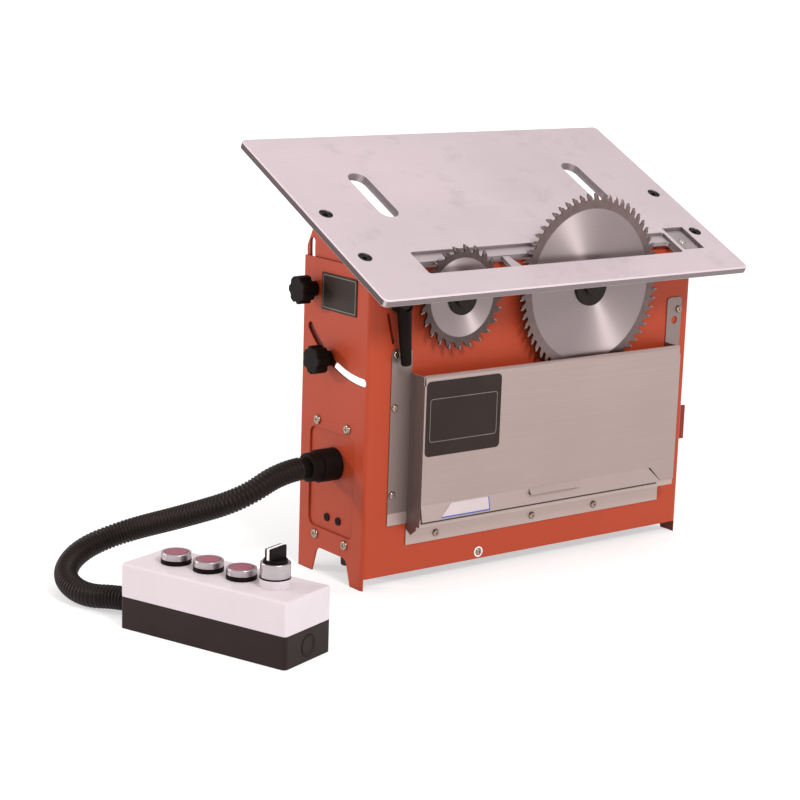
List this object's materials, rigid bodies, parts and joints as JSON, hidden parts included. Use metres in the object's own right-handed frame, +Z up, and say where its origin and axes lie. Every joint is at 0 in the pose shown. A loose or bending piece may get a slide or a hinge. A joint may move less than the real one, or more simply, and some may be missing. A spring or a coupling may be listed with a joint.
{
  "type": "double blade panel saw",
  "caption": "Small bench panel saw with a scoring and a main blade, tilting slotted table, dust box with a door, lift lever and a push-button box on a conduit.",
  "frame": {"origin": "middle of the standing saw and its control box, on the floor", "axes": "+X to the operator's right along the body, +Y to the back, +Z up"},
  "size_m": [0.7608, 0.363, 0.4514],
  "materials": {
    "body_paint": "satin powder coat",
    "table_alloy": "fine brushed, clear",
    "stainless": "satin sheet",
    "blade_steel": "ground in rings",
    "zinc": "bright zinc",
    "black_steel": "blackened",
    "black_plastic": "moulded, satin",
    "white_plastic": "moulded, satin",
    "red_plastic": "moulded, satin",
    "chrome": "polished",
    "bare_plate": "black, left bare",
    "machined": "turned",
    "cast": "painted grey",
    "motor_alloy": "die cast",
    "bronze": "sintered",
    "belt_rubber": "matt"
  },
  "bodies": {
    "frame": {"body_shell": "body_paint", "base_plate": "body_paint", "cable_plate": "body_paint", "cable_plate_screws": "zinc", "nameplate": "bare_plate", "side_hook": "body_paint", "dust_box": "stainless", "front_screws": "zinc", "door_hinge_rod": "stainless", "guide_rods": "machined", "guide_brackets": "cast", "lever_bush": "bronze", "upper_clamp_bolts": "zinc", "conduit_cuff": "black_plastic", "conduit_locknuts": "black_plastic", "box_gland": "black_plastic", "conduit_hose": "black_plastic", "box_base": "black_plastic", "box_lid": "white_plastic", "box_screws": "zinc", "switch_rings": "black_plastic", "button_bezels": "chrome", "selector_bezel": "chrome", "contact_blocks": "black_plastic"},
    "table": {"table_plate": "table_alloy", "left_sector": "body_paint", "right_sector": "body_paint", "table_screws": "black_steel", "insert_block": "stainless", "lower_clamp_bolts": "zinc"},
    "knob_upper": {"upper_knob": "black_plastic"},
    "knob_lower": {"lower_knob": "black_plastic"},
    "lever": {"lift_lever": "black_plastic", "pinion_shaft": "machined"},
    "lift": {"carriage": "cast", "lift_rack": "machined", "guide_bushes": "bronze", "main_housing": "cast", "scoring_housing": "cast", "spindle_bearings": "machined", "main_motor": "motor_alloy", "scoring_motor": "motor_alloy", "main_belt": "belt_rubber", "scoring_belt": "belt_rubber"},
    "main_saw": {"main_spindle": "machined", "main_blade": "blade_steel", "main_flange_nut": "black_steel", "main_pulley": "motor_alloy"},
    "scoring_saw": {"scoring_spindle": "machined", "scoring_blade": "blade_steel", "scoring_flange_nut": "black_steel", "scoring_pulley": "motor_alloy"},
    "main_drive": {"main_rotor": "machined"},
    "scoring_drive": {"scoring_rotor": "machined"},
    "door": {"dust_door": "stainless"},
    "button_1": {"button_cap_1": "red_plastic"},
    "button_2": {"button_cap_2": "red_plastic"},
    "button_3": {"button_cap_3": "red_plastic"},
    "selector": {"selector_knob": "black_plastic"}
  },
  "joints": [
    {"name": "table_tilt", "type": "hinge", "parent": "frame", "child": "table", "pos_m": [0.11986, -0.01783, 0.3488], "axis": [1, 0, 0], "range_deg": [-26.5, 18.5]},
    {"name": "upper_knob_turn", "type": "hinge", "parent": "frame", "child": "knob_upper", "pos_m": [-0.10615, 0.07228, 0.30543], "axis": [-1, 0, 0], "range_deg": [0, 180]},
    {"name": "lower_knob_turn", "type": "hinge", "parent": "table", "child": "knob_lower", "pos_m": [-0.10615, 0.04325, 0.23631], "axis": [-1, 0, 0], "range_deg": [0, 180]},
    {"name": "lever_swing", "type": "hinge", "parent": "frame", "child": "lever", "pos_m": [-0.07265, -0.02583, 0.303], "axis": [0, 1, 0], "range_deg": [0, 75]},
    {"name": "carriage_lift", "type": "slide", "parent": "frame", "child": "lift", "axis": [0, 0, 1], "range_m": [-0.0216, 0]},
    {"name": "main_spin", "type": "hinge", "parent": "lift", "child": "main_saw", "pos_m": [0.18066, -0.02583, 0.305], "axis": [0, -1, 0], "continuous": true},
    {"name": "scoring_spin", "type": "hinge", "parent": "lift", "child": "scoring_saw", "pos_m": [0.00245, -0.02583, 0.305], "axis": [0, -1, 0], "continuous": true},
    {"name": "main_motor_spin", "type": "hinge", "parent": "lift", "child": "main_drive", "pos_m": [0.18066, -0.02583, 0.15], "axis": [0, -1, 0], "continuous": true},
    {"name": "scoring_motor_spin", "type": "hinge", "parent": "lift", "child": "scoring_drive", "pos_m": [0.00245, -0.02583, 0.19], "axis": [0, -1, 0], "continuous": true},
    {"name": "dust_door_swing", "type": "hinge", "parent": "frame", "child": "door", "pos_m": [0.11986, -0.04703, 0.224], "axis": [-1, 0, 0], "range_deg": [0, 105]},
    {"name": "button_press_1", "type": "slide", "parent": "frame", "child": "button_1", "axis": [0, 0, -1], "range_m": [0, 0.0025], "stiffness_N_per_m": 1200, "springref_m": -0.001},
    {"name": "button_press_2", "type": "slide", "parent": "frame", "child": "button_2", "axis": [0, 0, -1], "range_m": [0, 0.0025], "stiffness_N_per_m": 1200, "springref_m": -0.001},
    {"name": "button_press_3", "type": "slide", "parent": "frame", "child": "button_3", "axis": [0, 0, -1], "range_m": [0, 0.0025], "stiffness_N_per_m": 1200, "springref_m": -0.001},
    {"name": "selector_turn", "type": "hinge", "parent": "frame", "child": "selector", "pos_m": [-0.28702, -0.13291, 0.09], "axis": [0, 0, 1], "range_deg": [-45, 45]}
  ],
  "couplings": [
    {"joint": "lever_swing", "follows": "carriage_lift", "rad_per_m": -60.606},
    {"joint": "main_motor_spin", "follows": "main_spin", "ratio": 0.71429},
    {"joint": "scoring_motor_spin", "follows": "scoring_spin", "ratio": 0.66667}
  ]
}
